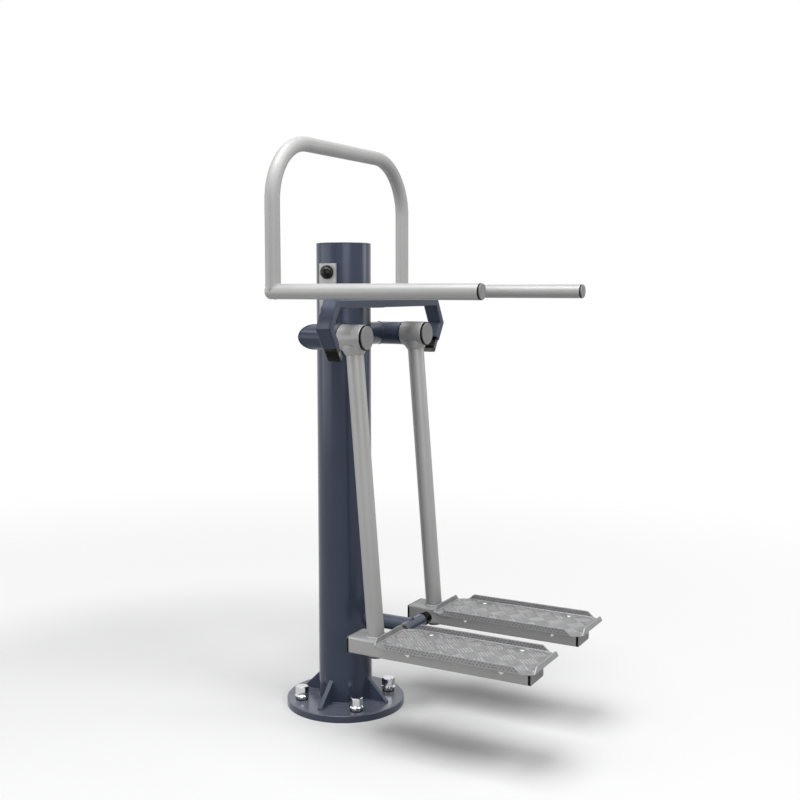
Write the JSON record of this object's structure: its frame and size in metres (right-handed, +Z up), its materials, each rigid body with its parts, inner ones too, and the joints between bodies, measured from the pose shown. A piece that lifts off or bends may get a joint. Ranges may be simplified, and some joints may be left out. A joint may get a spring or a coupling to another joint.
{
  "type": "outdoor adductor and abductor exercise station",
  "caption": "Outdoor leg exercise station: a flanged post with swinging foot arms on pivot hubs, tread trays, rubber swing stops, side handlebars and an overhead hoop handle.",
  "frame": {"origin": "on the post's axis, at the underside of the base flange on the ground", "axes": "+Z up; the user stands on the -Y side and faces +Y; +X to the user's right"},
  "size_m": [0.656, 0.7851, 1.4598],
  "materials": {
    "post_coat": "satin",
    "frame_coat": "satin",
    "end_cap_grey": "matte",
    "tread_metal": "satin",
    "black_rubber": "satin",
    "black_plastic": "glossy",
    "bright_nut": "polished",
    "zinc_steel": "satin"
  },
  "bodies": {
    "frame": {"base_flange": "post_coat", "base_gussets": "post_coat", "post_tube": "post_coat", "post_cap": "post_coat", "anchor_washers": "black_rubber", "anchor_cap_nuts": "bright_nut", "pivot_cross_tube": "post_coat", "outer_stop_bracket": "post_coat", "outer_stop_stem": "post_coat", "inner_stop_stem": "post_coat", "inner_stop_bar": "post_coat", "handle_hoop": "frame_coat", "handle_end_plugs": "black_rubber", "handle_end_caps": "end_cap_grey", "post_pads": "post_coat", "handle_bolts": "zinc_steel", "bolt_covers": "black_plastic", "left_pivot_stub": "post_coat", "left_pivot_axle": "zinc_steel", "left_axle_nut": "zinc_steel", "left_outer_bumper": "black_rubber", "left_inner_bumper": "black_rubber", "left_handlebar": "frame_coat", "left_mount_plate": "frame_coat", "left_handle_stub": "frame_coat", "right_pivot_stub": "post_coat", "right_pivot_axle": "zinc_steel", "right_axle_nut": "zinc_steel", "right_outer_bumper": "black_rubber", "right_inner_bumper": "black_rubber", "right_handlebar": "frame_coat", "right_mount_plate": "frame_coat", "right_handle_stub": "frame_coat"},
    "left_arm": {"left_hub_sleeve": "frame_coat", "left_hub_bearings": "zinc_steel", "left_hub_rear_seal": "black_rubber", "left_hub_gasket": "black_rubber", "left_hub_cap": "end_cap_grey", "left_swing_arm": "frame_coat", "left_arm_plug": "black_rubber", "left_foot_beam": "frame_coat", "left_beam_seals": "black_rubber", "left_beam_caps": "end_cap_grey", "left_tread_plate": "tread_metal", "left_tread_cleats": "frame_coat", "left_tread_bolts": "zinc_steel"},
    "right_arm": {"right_hub_sleeve": "frame_coat", "right_hub_bearings": "zinc_steel", "right_hub_rear_seal": "black_rubber", "right_hub_gasket": "black_rubber", "right_hub_cap": "end_cap_grey", "right_swing_arm": "frame_coat", "right_arm_plug": "black_rubber", "right_foot_beam": "frame_coat", "right_beam_seals": "black_rubber", "right_beam_caps": "end_cap_grey", "right_tread_plate": "tread_metal", "right_tread_cleats": "frame_coat", "right_tread_bolts": "zinc_steel"}
  },
  "joints": [
    {"name": "left_swing", "type": "hinge", "parent": "frame", "child": "left_arm", "pos_m": [-0.155, -0.128, 0.9777], "axis": [0, 1, 0], "range_deg": [-2.5, 42.5]},
    {"name": "right_swing", "type": "hinge", "parent": "frame", "child": "right_arm", "pos_m": [0.155, -0.128, 0.9777], "axis": [0, -1, 0], "range_deg": [-2.5, 42.5]}
  ]
}
